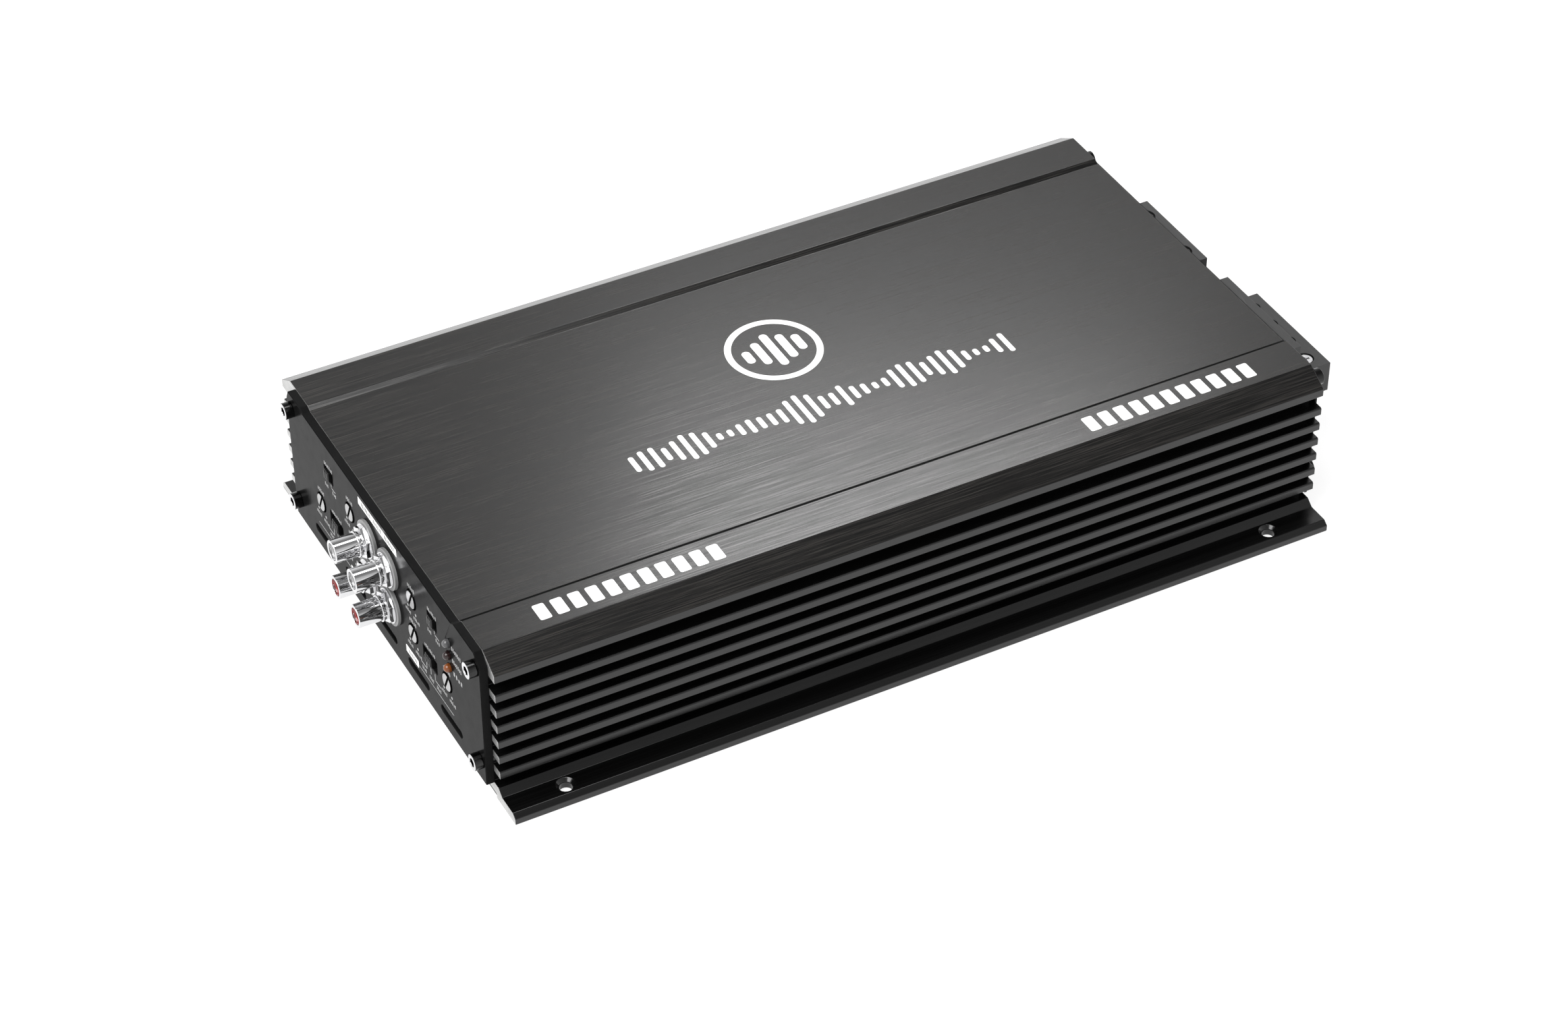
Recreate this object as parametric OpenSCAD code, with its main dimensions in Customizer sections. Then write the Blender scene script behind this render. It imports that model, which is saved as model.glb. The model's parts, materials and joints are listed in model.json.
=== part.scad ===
// Four-channel car amplifier: a finned aluminium extrusion that carries its own boards,
// closed by a bottom cover and two end plates. Millimetres, +X along the extrusion
// towards the speaker and power terminals, +Z up.
// The origin is the centre of the four mounting holes, on the face that the amplifier rests on.

/* [Heat sink] */
// Length of the extrusion
body_length = 312; // [290:1:340]
// Width over the mounting flanges
body_width = 193.6; // [193:0.2:200]
// Height of the raised rails along the top
rail_height = 60.25; // [60.25:0.25:66]
// Depth of the panel sunk between the rails
panel_drop = 1.11; // [0.5:0.01:2]
// Number of cooling fins on each side
fin_count = 6; // [2:1:6]
// Distance from one fin to the next
fin_pitch = 6.57; // [5:0.01:6.57]
// Thickness of a fin
fin_thickness = 3; // [1.5:0.1:3.5]

/* [Mounting] */
// Distance between mounting holes along the length
mount_spacing_x = 270.4; // [200:0.2:280]
// Distance between mounting holes across the width
mount_spacing_y = 181.6; // [181:0.2:182]
// Diameter of a mounting hole
mount_hole_d = 4.4; // [3.5:0.1:5]
// Diameter of the countersink at the flange's top
mount_sink_d = 6.8; // [5.2:0.1:7.2]

/* [End plates] */
// Thickness of the input end plate
input_plate_t = 3; // [2:0.1:4]
// Thickness of the terminal end plate
terminal_plate_t = 1; // [0.8:0.1:1.6]
// Length of a vent slot
vent_length = 16.7; // [8:0.1:20]
// Height of a vent slot
vent_height = 2.7; // [1.5:0.1:3]

/* [Controls] */
// Turn of each trimmer from its lowest setting
trimmer_turn = 0; // [0:1:300]
// Play of a sliding knob across its window
knob_play = 0.1; // [0.05:0.05:0.3]

/* [Terminals] */
// Distance between speaker terminals
speaker_pitch = 11.33; // [10.5:0.01:11.6]
// Diameter of the wire hole in a power terminal
power_wire_d = 9.2; // [6:0.1:10]

/* [Hidden] */
$fn = 64;
gap = 0.05;
cut = 1;
end_x = body_length / 2;
half_width = body_width / 2;

// Heat sink section
flange_edge_h = 2.24;
flange_h = 3.7;
flange_bevel = 1.93;
flange_flat_in = half_width - 9.76;
step_y = half_width - 12.5;
step_h = 5.9;
root_y = 80.5;
cavity_y = 73.5;
cavity_top = 55.4;
fin_tip_y = 86.5;
fin_chamfer = 0.45;
fin_first_z = 11.3;
lip_z = 52.28;
lip_top_z = 55.24;
rail_out_y = 78;
rail_in_y = 62.75;
rail_slope = 1.96;

// Bottom cover
cover_z = 0.3;
cover_t = 1.6;
cover_y = 82.4;
cover_end_gap = 0.4;
cover_lip_h = 11;
cover_lip_y = 66;
cover_screw_y = 78.2;
cover_screw_x = [for (k = [-1.5 : 1 : 1.5]) k * 86];

// M3 fasteners
m3_r = 1.45;
m3_hole_r = m3_r + gap;
m3_clear_r = 1.7;
m3_head_r = 2.95;
m3_head_h = 3;
m3_socket_r = 1.6;
m3_sink_r = 2.9;

// End plates, both set 3.55 mm towards the front
plate_mid_y = -3.55;
plate_half_w = 78.55;
plate_bottom_z = 6.4;
plate_screw_y = 74.6;
plate_screw_z = [14.5, 54];
port_r = 3.2;
input_face_x = -end_x - input_plate_t;
terminal_face_x = end_x + terminal_plate_t;
vent_z = 13.05;
vent_pitch = 26.15;
vent_count = 5;

// Input connectors, as [y, z]
rca_y = [6.2, -10.3];
rca_z = [44, 28.6];
rca_at = [for (z = rca_z) for (y = rca_y) [y, z]];
rca_hole_r = 3.9;
rca_thread_r = 3.2;
rca_washer_r = 7.4;
rca_washer_t = 1.2;
rca_flange_r = 6.3;
rca_flange_top = 1.7;
rca_barrel_r = 4.15;
rca_bore_r = 3.05;
rca_core_r = 2.6;
rca_length = 13.3;
rca_hex_top = 3.2;
rca_collar_z = 4.3;
rca_collar_top = 4.9;
contact_r = 1.95;
contact_bore_r = 1.65;

// Trimmers, as [y, z]
trimmer_at = [[22.5, 43.9], [22.5, 29], [49.2, 29], [-27.8, 43.9], [-27.5, 29], [-54.4, 29]];
trimmer_hole_r = 3.7;
trimmer_face_r = 3.15;
trimmer_stem_r = 1.95;
trimmer_proud = 0.35;
trimmer_slot_lean = 26;
trimmer_slot_w = 1.05;

// Slide switches, as [y, z, kind], where a kind is the window's width and height, the knob's
// width and height, the knob's place from the window's centre, and its travel each way
two_way = [7.1, 4.9, 3.5, 3.8, [0.6, -0.4], [-2, 0]];
three_way = [11, 5.4, 4.7, 3.9, [0.5, -0.6], [-2.4, 2.4]];
switch_at = [
    [39.9, 47.45, two_way],
    [36, 28.2, three_way],
    [-44.65, 47.45, two_way],
    [-40.8, 28.2, three_way]
];
knob_proud = 0.9;
knob_depth = 5.6;

// Indicator lamps
lamp_y = -57.2;
lamp_z = [48.1, 42.9, 37.6];
lamp_r = 1.5;
lamp_hole_r = 1.6;

// Input board, parallel to the input end plate
input_board_t = 1.6;
input_board_x = -end_x + 9.6;
behind_plate = 0.6;
board_reach = input_board_x - input_face_x;

// Main board
board_t = 1.6;
board_z = 10;
board_top = board_z + board_t;
board_x = [-end_x + 14, end_x - 8];
board_y = 63;
standoff_at = [for (x = [-130, 0, 136]) for (y = [-57, 57]) [x, y]];
standoff_r = 3.2;

// Speaker terminals: two tiers of four
tier_count = 4;
speaker_mid_y = -33.75;
speaker_half_w = 23.35;
tier_h = 12;
tier_bottom_z = 26;
tier_out = [end_x + 24.6, end_x + 11];
speaker_y = [for (k = [0 : tier_count - 1]) speaker_mid_y + (k - (tier_count - 1) / 2) * speaker_pitch];
screw_inset = 6.3;
tail_slot_half = 1.6;
cage_half_w = 3.9;
cage_wall = 1.2;
cage_z = 0.6;
cage_h = 7.2;
cage_l = 10;
cage_inset = 1;
screw_hole_r = 3;
screw_r = 2.6;
screw_sunk = 0.4;
screw_l = 4.9;

// Power terminals
power_block_y = [2.7, 43.1];
power_out_x = end_x + 10.8;
power_bottom_z = 26;
power_top_z = 50;
power_y = [10.6, 35.3];
power_wire_z = 36.5;
lug_half = 6.2;
lug_x = [end_x - 7, end_x + 10];
lug_tail_half = 3;
lug_tail_t = 1.5;
power_screw_hole_r = 4;
power_screw_r = 3.6;
power_screw_l = 8.4;
power_screw_x = end_x + 4.7;
remote_y = (power_y[0] + power_y[1]) / 2;

// Power transistors and their clamps
transistor_x = [for (k = [-2.5 : 1 : 2.5]) k * 40];
clamp_screw_x = [-80, 0, 80];
pad_t = 0.3;
tab_t = 1.3;
package_t = 4.5;
clamp_t = 1.8;
clamp_z = [20, 27];
clamp_screw_z = 23.5;
clamp_half_l = 112;
transistor_z = 18;

// Parts on the main board
transformer_at = [[92, -26], [92, 26]];
core_r = [12, 21];
core_h = 15;
winding_t = 2.2;
inductor_at = [for (x = [-62, -30]) for (y = [-26, 26]) [x, y]];
rail_capacitor_at = [for (x = [6, 30]) for (y = [-38, -14, 14, 38]) [x, y]];
supply_capacitor_at = [[124, -44], [124, -22]];

// ---- helpers ----

// Extrudes a shape drawn as (y, z) along +X
module along_x(x, length) {
    translate([x, 0, 0])
        rotate([90, 0, 90])
            linear_extrude(length)
                children();
}

// Puts an axis on the input end plate's face: local +Z points out of the plate
module on_input_plate(y, z) {
    translate([input_face_x, y, z])
        rotate([0, -90, 0])
            children();
}

// Both sides of the extrusion
module both_sides() {
    children();
    mirror([0, 1, 0])
        children();
}

// A box from one corner to the opposite one
module box(low, high) {
    translate(low)
        cube(high - low);
}

// A round-ended slot, drawn flat
module slot_shape(length, height) {
    straight = length - height;
    square([straight, height], center = true);
    for (side = [-1, 1])
        translate([side * straight / 2, 0])
            circle(d = height);
}

// A cylinder between two heights
module disc(z_low, z_high, r) {
    translate([0, 0, z_low])
        cylinder(h = z_high - z_low, r = r);
}

// A six-sided prism between two heights, r to its corners
module hex(z_low, z_high, r) {
    translate([0, 0, z_low])
        cylinder(h = z_high - z_low, r = r, $fn = 6);
}

// ---- heat sink and cover ----

module half_section() {
    polygon([
        [0, 0],
        [half_width, 0],
        [half_width, flange_edge_h],
        [half_width - flange_bevel, flange_h],
        [flange_flat_in, flange_h],
        [step_y, step_h],
        [root_y, step_h],
        [root_y, lip_z],
        [fin_tip_y, lip_z],
        [fin_tip_y, lip_top_z],
        [rail_out_y, rail_height],
        [rail_in_y, rail_height],
        [rail_in_y - rail_slope, rail_height - panel_drop],
        [0, rail_height - panel_drop]
    ]);
}

module fin_section(z) {
    polygon([
        [root_y - cut, z],
        [fin_tip_y, z],
        [fin_tip_y, z + fin_thickness - fin_chamfer],
        [fin_tip_y - fin_chamfer, z + fin_thickness],
        [root_y - cut, z + fin_thickness]
    ]);
}

module both_halves() {
    children();
    mirror([1, 0])
        children();
}

module heatsink_section() {
    difference() {
        union() {
            difference() {
                both_halves() {
                    half_section();
                    for (k = [0 : fin_count - 1])
                        fin_section(fin_first_z + k * fin_pitch);
                }
                translate([-cavity_y, -cut])
                    square([2 * cavity_y, cavity_top + cut]);
                translate([-cover_y - 0.2, -cut])
                    square([2 * (cover_y + 0.2), cover_z + cover_t + gap + cut]);
            }
            for (side = [-1, 1])
                for (z = plate_screw_z)
                    translate([plate_mid_y + side * plate_screw_y, z])
                        circle(r = port_r);
        }
        for (side = [-1, 1])
            for (z = plate_screw_z)
                translate([plate_mid_y + side * plate_screw_y, z])
                    circle(r = m3_hole_r);
    }
}

module mounting_hole() {
    sink_depth = (mount_sink_d - mount_hole_d) / 2;
    translate([0, 0, -cut])
        cylinder(h = flange_h + 2 * cut, d = mount_hole_d);
    translate([0, 0, flange_h - sink_depth])
        cylinder(h = sink_depth, d1 = mount_hole_d, d2 = mount_sink_d);
    translate([0, 0, flange_h])
        cylinder(h = cut, d = mount_sink_d);
}

module heatsink_body() {
    color([0.13, 0.13, 0.13])
        difference() {
            along_x(-end_x, body_length)
                heatsink_section();
            for (x = [-1, 1])
                for (y = [-1, 1])
                    translate([x * mount_spacing_x / 2, y * mount_spacing_y / 2, 0])
                        mounting_hole();
            both_sides() {
                for (x = cover_screw_x)
                    translate([x, cover_screw_y, 0])
                        disc(0, 8, m3_hole_r);
                for (x = clamp_screw_x)
                    translate([x, cavity_y - cut, clamp_screw_z])
                        rotate([-90, 0, 0])
                            disc(0, 6, m3_hole_r);
            }
        }
}

module bottom_cover() {
    x_end = end_x - cover_end_gap;
    top = cover_z + cover_t;
    color([0.16, 0.16, 0.17])
        difference() {
            union() {
                box([-x_end, -cover_y, cover_z], [x_end, cover_y, top]);
                for (x = [-x_end, x_end - cover_t])
                    box([x, -cover_lip_y, cover_z], [x + cover_t, cover_lip_y, cover_lip_h]);
            }
            both_sides()
                for (x = cover_screw_x)
                    translate([x, cover_screw_y, 0]) {
                        translate([0, 0, cover_z])
                            cylinder(h = cover_t, r1 = m3_sink_r + gap, r2 = m3_hole_r + gap);
                        disc(0, cover_z, m3_sink_r + gap);
                        disc(0, 3, m3_hole_r + gap);
                    }
        }
}

module cover_screws() {
    color([0.3, 0.3, 0.31])
        both_sides()
            for (x = cover_screw_x)
                translate([x, cover_screw_y, 0])
                    difference() {
                        union() {
                            translate([0, 0, cover_z])
                                cylinder(h = cover_t - 0.1, r1 = m3_sink_r, r2 = m3_r);
                            disc(cover_z + 0.5, 7.5, m3_r);
                        }
                        cross_recess(cover_z - cut, cover_z + 0.9, 2.6);
                    }
}

// A cross-shaped driver recess, square to Z
module cross_recess(z_low, z_high, width) {
    slot_w = 0.6;
    for (turn = [0, 90])
        rotate([0, 0, turn])
            translate([-width / 2, -slot_w / 2, z_low])
                cube([width, slot_w, z_high - z_low]);
}

// ---- end plates ----

module vent_shapes() {
    for (k = [0 : vent_count - 1])
        translate([plate_mid_y + (k - (vent_count - 1) / 2) * vent_pitch, vent_z])
            slot_shape(vent_length, vent_height);
}

module plate_screw_points() {
    for (side = [-1, 1])
        for (z = plate_screw_z)
            translate([plate_mid_y + side * plate_screw_y, z])
                children();
}

module input_plate_outline() {
    front = plate_mid_y - plate_half_w;
    rear = plate_mid_y + plate_half_w;
    step = rail_height - panel_drop;
    polygon([
        [front, plate_bottom_z],
        [rear, plate_bottom_z],
        [rear, rail_height - 3.7],
        [rear - 1.8, rail_height],
        [rail_in_y, rail_height],
        [rail_in_y - rail_slope, step],
        [rail_slope - rail_in_y, step],
        [-rail_in_y, rail_height],
        [-rail_out_y, rail_height],
        [front, rail_height - 4.2]
    ]);
}

module input_end_plate() {
    color([0.2, 0.2, 0.2])
        along_x(input_face_x, input_plate_t)
            difference() {
                input_plate_outline();
                vent_shapes();
                plate_screw_points()
                    circle(r = m3_clear_r);
                for (p = rca_at)
                    translate(p)
                        circle(r = rca_hole_r);
                for (p = trimmer_at)
                    translate(p)
                        circle(r = trimmer_hole_r);
                for (s = switch_at)
                    translate([s[0], s[1]])
                        square([s[2][0], s[2][1]], center = true);
                for (z = lamp_z)
                    translate([lamp_y, z])
                        circle(r = lamp_hole_r);
            }
}

module terminal_plate_outline() {
    front = plate_mid_y - plate_half_w;
    rear = plate_mid_y + plate_half_w;
    top = rail_height - 2;
    corner = 3;
    polygon([
        [front, plate_bottom_z],
        [rear, plate_bottom_z],
        [rear, top - corner],
        [rear - corner, top],
        [front + corner, top],
        [front, top - corner]
    ]);
}

module terminal_end_plate() {
    color([0.2, 0.2, 0.2])
        along_x(end_x, terminal_plate_t)
            difference() {
                terminal_plate_outline();
                vent_shapes();
                plate_screw_points()
                    circle(r = m3_clear_r);
                translate([speaker_mid_y - speaker_half_w + 1.5, tier_bottom_z + 1.5])
                    square([2 * speaker_half_w - 3, 2 * tier_h - 3]);
                for (y = speaker_y)
                    translate([y - tail_slot_half, tier_bottom_z + 0.4])
                        square([2 * tail_slot_half, 2]);
                translate([power_block_y[0] + 1.5, power_bottom_z + 1.5])
                    square([
                        power_block_y[1] - power_block_y[0] - 3,
                        power_top_z - power_bottom_z - 3
                    ]);
            }
}

// A cap screw with its head's underside at z = 0 and its head towards +Z
module cap_screw(length) {
    difference() {
        union() {
            disc(0, m3_head_h, m3_head_r);
            disc(-length, cut, m3_r);
        }
        hex(m3_head_h - 1.6, m3_head_h + cut, m3_socket_r);
    }
}

module input_plate_screws() {
    color([0.75, 0.75, 0.76])
        for (side = [-1, 1])
            for (z = plate_screw_z)
                on_input_plate(plate_mid_y + side * plate_screw_y, z)
                    cap_screw(12);
}

module terminal_plate_screws() {
    color([0.75, 0.75, 0.76])
        for (side = [-1, 1])
            for (z = plate_screw_z)
                translate([terminal_face_x, plate_mid_y + side * plate_screw_y, z])
                    rotate([0, 90, 0])
                        cap_screw(10);
}

// ---- input connectors ----

module rca_shell(k) {
    back = -input_plate_t - 4.5;
    color([0.86, 0.86, 0.88])
        on_input_plate(rca_at[k][0], rca_at[k][1])
            difference() {
                union() {
                    disc(back, rca_washer_t, rca_thread_r);
                    disc(rca_washer_t, rca_flange_top, rca_flange_r);
                    hex(rca_washer_t, rca_hex_top, 6);
                    disc(rca_hex_top, rca_collar_z, rca_barrel_r + 0.1);
                    disc(rca_collar_z, rca_collar_top, rca_barrel_r + 0.5);
                    disc(rca_collar_top, rca_length, rca_barrel_r);
                }
                disc(back - cut, rca_length, rca_core_r);
                disc(rca_collar_z, rca_length + cut, rca_bore_r);
            }
}

module rca_insulator() {
    difference() {
        union() {
            disc(-input_plate_t - 5.5, rca_collar_z, rca_core_r - gap);
            disc(rca_collar_z, rca_length - 0.9, rca_bore_r - gap);
        }
        disc(-input_plate_t - 5.5 - cut, rca_length, contact_r + gap);
    }
}

module rca_insulators_white() {
    color([0.92, 0.92, 0.9])
        for (k = [0, 1])
            on_input_plate(rca_at[k][0], rca_at[k][1])
                rca_insulator();
}

module rca_insulators_red() {
    color([0.62, 0.07, 0.06])
        for (k = [2, 3])
            on_input_plate(rca_at[k][0], rca_at[k][1])
                rca_insulator();
}

module rca_contacts() {
    shelf = -input_plate_t - 4;
    color([0.8, 0.68, 0.36])
        for (p = rca_at)
            on_input_plate(p[0], p[1])
                difference() {
                    union() {
                        disc(shelf - 2, rca_length - 1.6, contact_r);
                        disc(-board_reach, shelf, 0.8);
                    }
                    disc(shelf, rca_length, contact_bore_r);
                }
}

module rca_washers() {
    color([0.72, 0.72, 0.7])
        for (p = rca_at)
            on_input_plate(p[0], p[1])
                difference() {
                    union() {
                        disc(0, rca_washer_t, rca_washer_r);
                        disc(-1.5, cut, rca_hole_r - gap);
                    }
                    disc(-3, 3, rca_thread_r + gap);
                }
}

module rca_nuts() {
    color([0.75, 0.72, 0.6])
        for (p = rca_at)
            on_input_plate(p[0], p[1])
                difference() {
                    hex(-input_plate_t - 3, -input_plate_t, 5.4);
                    disc(-8, 0, rca_thread_r + gap);
                }
}

// ---- trimmers ----

module trimmer_shaft(k) {
    stem_end = -input_plate_t - 5.6;
    head_back = 0.6 - input_plate_t;
    color([0.78, 0.78, 0.78])
        on_input_plate(trimmer_at[k][0], trimmer_at[k][1])
            rotate([0, 0, -trimmer_slot_lean - trimmer_turn])
                difference() {
                    union() {
                        disc(head_back, trimmer_proud, trimmer_face_r);
                        disc(stem_end, 0, trimmer_stem_r);
                    }
                    translate([-4, -trimmer_slot_w / 2, trimmer_proud - 0.8])
                        cube([8, trimmer_slot_w, 2]);
                }
}

module trimmer_bodies() {
    half = 4.9;
    front = -input_plate_t - behind_plate;
    color([0.12, 0.2, 0.4])
        for (p = trimmer_at)
            on_input_plate(p[0], p[1])
                difference() {
                    box([-half, -half, -board_reach], [half, half, front]);
                    disc(front - 5.4, 0, trimmer_stem_r + gap);
                }
}

// ---- slide switches ----

// A box centred on [y, z], with the given width and height, between two heights
module block(centre, width, height, z_low, z_high) {
    translate([centre[1] - height / 2, centre[0] - width / 2, z_low])
        cube([height, width, z_high - z_low]);
}

module slide_knob(k) {
    kind = switch_at[k][2];
    ridge = 0.3;
    color([0.05, 0.05, 0.05])
        on_input_plate(switch_at[k][0], switch_at[k][1]) {
            block(kind[4], kind[2], kind[3], -input_plate_t - knob_depth, knob_proud - ridge);
            for (row = [-1 : 1])
                block(
                    kind[4] + [row * kind[2] / 3, 0], 0.5, kind[3] - 0.5,
                    knob_proud - ridge, knob_proud
                );
        }
}

module slide_switch_body(kind) {
    wall = 1.3;
    front = -input_plate_t - behind_plate;
    travel = kind[5];
    middle = kind[4] + [(travel[0] + travel[1]) / 2, 0];
    track = kind[2] + travel[1] - travel[0] + 2 * knob_play;
    difference() {
        block([0, 0], kind[0] + 2 * wall, kind[1] + 1.6, -board_reach, front);
        block(middle, track, kind[3] + 2 * knob_play, -input_plate_t - knob_depth - knob_play, 0);
    }
}

module slide_switch_bodies() {
    color([0.5, 0.5, 0.52])
        for (s = switch_at)
            on_input_plate(s[0], s[1])
                slide_switch_body(s[2]);
}

// ---- indicator lamps ----

module lamp(k) {
    leg = 0.25;
    on_input_plate(lamp_y, lamp_z[k]) {
        disc(-input_plate_t - 1, 0.5, lamp_r);
        disc(-input_plate_t - 1, -input_plate_t, lamp_r + 0.4);
        translate([0, 0, 0.5])
            sphere(r = lamp_r);
        for (side = [-1, 1])
            translate([side * 0.9, 0, 0])
                disc(-board_reach, -input_plate_t - 0.5, leg);
    }
}

module power_lamp() {
    color([0.85, 0.87, 0.9])
        lamp(0);
}

module protect_lamp() {
    color([0.35, 0.04, 0.03])
        lamp(1);
}

module clip_lamp() {
    color([0.85, 0.4, 0.1])
        lamp(2);
}

// ---- speaker terminals ----

// Lower tier first: [wire face x, bottom z] of tier t
function tier_corner(t) = [tier_out[t], tier_bottom_z + t * tier_h];

// The pocket that a wire cage sits in, open at the wire face, with the screw's hole above it
module cage_pocket(corner, y) {
    box(
        [corner[0] - cage_inset - cage_l, y - cage_half_w, corner[1] + cage_z],
        [corner[0] + cut, y + cage_half_w, corner[1] + cage_z + cage_h]
    );
    translate([corner[0] - screw_inset, y, corner[1] + cage_z])
        cylinder(h = tier_h, r = screw_hole_r);
}

// A brass cage that a screw presses the wire into, with a tail down to the board
module wire_cage(corner, y, tail_x) {
    x_back = corner[0] - cage_inset - cage_l + gap;
    x_front = corner[0] - cage_inset;
    z_low = corner[1] + cage_z + gap;
    z_high = corner[1] + cage_z + cage_h - gap;
    half = cage_half_w - gap;
    tail_half = 1.4;
    tail_t = 1;
    difference() {
        box([x_back, y - half, z_low], [x_front, y + half, z_high]);
        box(
            [x_back - cut, y - half + cage_wall, z_low + cage_wall],
            [x_front + cut, y + half - cage_wall, z_high - cage_wall]
        );
        translate([corner[0] - screw_inset, y, z_low + cage_h / 2])
            cylinder(h = cage_h, r = screw_r + gap);
    }
    box([tail_x, y - tail_half, z_low], [x_back + gap, y + tail_half, z_low + tail_t]);
    box([tail_x, y - tail_half, board_z - 1.5], [tail_x + tail_t, y + tail_half, z_low + tail_t]);
}

tail_x = [end_x - 12, end_x - 16];

module speaker_terminal_block() {
    color([0.1, 0.1, 0.1])
        difference() {
            union() {
                for (t = [0, 1])
                    box(
                        [terminal_face_x, speaker_mid_y - speaker_half_w, tier_corner(t)[1]],
                        [tier_out[t], speaker_mid_y + speaker_half_w, tier_corner(t)[1] + tier_h]
                    );
                box(
                    [end_x - 9, speaker_mid_y - speaker_half_w + 1.6, tier_bottom_z + 1.6],
                    [
                        terminal_face_x,
                        speaker_mid_y + speaker_half_w - 1.6,
                        tier_bottom_z + 2 * tier_h - 1.6
                    ]
                );
            }
            for (t = [0, 1])
                for (y = speaker_y) {
                    cage_pocket(tier_corner(t), y);
                    box(
                        [end_x - 10, y - tail_slot_half, tier_corner(t)[1] + cage_z],
                        [tier_out[t] - 9, y + tail_slot_half, tier_corner(t)[1] + cage_z + 1.2]
                    );
                }
        }
}

module speaker_wire_clamps() {
    color([0.72, 0.6, 0.3])
        for (t = [0, 1])
            for (y = speaker_y)
                wire_cage(tier_corner(t), y, tail_x[t]);
}

// A headless screw standing on its tip
module clamp_screw(length, r) {
    difference() {
        cylinder(h = length, r = r);
        cross_recess(length - 1, length + cut, r * 1.3);
    }
}

module speaker_screw(k) {
    t = floor(k / tier_count);
    y = speaker_y[k % tier_count];
    corner = tier_corner(t);
    color([0.8, 0.8, 0.82])
        translate([corner[0] - screw_inset, y, corner[1] + tier_h - screw_sunk - screw_l])
            clamp_screw(screw_l, screw_r);
}

// ---- power terminals ----

remote_corner = [power_out_x, power_top_z - tier_h];

module power_terminal_block() {
    color([0.1, 0.1, 0.1])
        difference() {
            union() {
                box(
                    [terminal_face_x, power_block_y[0], power_bottom_z],
                    [power_out_x, power_block_y[1], power_top_z]
                );
                box(
                    [end_x - 9, power_block_y[0] + 1.6, power_bottom_z + 1.6],
                    [terminal_face_x, power_block_y[1] - 1.6, power_top_z - 1.6]
                );
            }
            for (y = power_y) {
                box(
                    [end_x - 10, y - lug_half, power_wire_z - lug_half],
                    [power_out_x + cut, y + lug_half, power_wire_z + lug_half]
                );
                box(
                    [end_x - 10, y - lug_tail_half - 0.2, power_bottom_z],
                    [lug_x[0] + lug_tail_t + 0.2, y + lug_tail_half + 0.2, power_wire_z]
                );
                translate([power_screw_x, y, power_wire_z])
                    cylinder(h = power_top_z, r = power_screw_hole_r);
            }
            cage_pocket(remote_corner, remote_y);
            box(
                [end_x - 10, remote_y - tail_slot_half, remote_corner[1] + cage_z],
                [power_out_x - 9, remote_y + tail_slot_half, remote_corner[1] + cage_z + 1.2]
            );
        }
}

module power_lugs() {
    half = lug_half - gap;
    color([0.78, 0.64, 0.3])
        for (y = power_y)
            difference() {
                union() {
                    box(
                        [lug_x[0], y - half, power_wire_z - half],
                        [lug_x[1], y + half, power_wire_z + half]
                    );
                    box(
                        [lug_x[0], y - lug_tail_half, board_z - 1.5],
                        [lug_x[0] + lug_tail_t, y + lug_tail_half, power_wire_z]
                    );
                }
                translate([lug_x[0] + 3, y, power_wire_z])
                    rotate([0, 90, 0])
                        cylinder(h = body_length, d = power_wire_d);
                translate([power_screw_x, y, power_wire_z])
                    cylinder(h = 20, r = power_screw_r + gap);
            }
}

module remote_wire_clamp() {
    color([0.72, 0.6, 0.3])
        wire_cage(remote_corner, remote_y, tail_x[1]);
}

module power_screw(k) {
    color([0.8, 0.8, 0.82])
        translate([power_screw_x, power_y[k], power_top_z - 0.6 - power_screw_l])
            clamp_screw(power_screw_l, power_screw_r);
}

module remote_screw() {
    color([0.8, 0.8, 0.82])
        translate([remote_corner[0] - screw_inset, remote_y, power_top_z - screw_sunk - screw_l])
            clamp_screw(screw_l, screw_r);
}

// ---- boards ----

module main_board() {
    color([0.06, 0.25, 0.14])
        difference() {
            box([board_x[0], -board_y, board_z], [board_x[1], board_y, board_top]);
            for (p = standoff_at)
                translate([p[0], p[1], board_z - cut])
                    cylinder(h = 4, r = m3_clear_r);
            for (t = [0, 1])
                for (y = speaker_y)
                    tail_hole(tail_x[t], y, 1.4, 1);
            tail_hole(tail_x[1], remote_y, 1.4, 1);
            for (y = power_y)
                tail_hole(lug_x[0], y, lug_tail_half, lug_tail_t);
        }
}

// A slot in the board for a terminal's tail
module tail_hole(x, y, half_w, thickness) {
    play = 0.2;
    box(
        [x - play, y - half_w - play, board_z - cut],
        [x + thickness + play, y + half_w + play, board_top + cut]
    );
}

module board_standoffs() {
    color([0.72, 0.62, 0.35])
        for (p = standoff_at)
            translate([p[0], p[1], 0])
                difference() {
                    hex(cover_z + cover_t, board_z, standoff_r);
                    disc(3, board_z + cut, m3_hole_r);
                }
}

module board_screws() {
    color([0.7, 0.7, 0.72])
        for (p = standoff_at)
            translate([p[0], p[1], board_top])
                difference() {
                    union() {
                        disc(0, 2, 2.75);
                        disc(-6, cut, m3_r);
                    }
                    cross_recess(1, 3, 3);
                }
}

module input_board() {
    color([0.06, 0.25, 0.14])
        along_x(input_board_x, input_board_t)
            translate([-65, 18])
                square([126, 35]);
}

module board_connector() {
    front = input_board_x + input_board_t;
    color([0.08, 0.08, 0.08])
        difference() {
            box([front, -20, board_top], [front + 6, 20, board_top + 12]);
            for (k = [-7 : 7])
                box(
                    [front + 2, k * 2.54 - 0.5, board_top + 3],
                    [front + 7, k * 2.54 + 0.5, board_top + 4.5]
                );
        }
}

// ---- parts on the main board ----

module ring_section(r_low, r_high, z_low, z_high) {
    translate([r_low, z_low])
        square([r_high - r_low, z_high - z_low]);
}

core_z = board_top + winding_t + 0.2;

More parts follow.
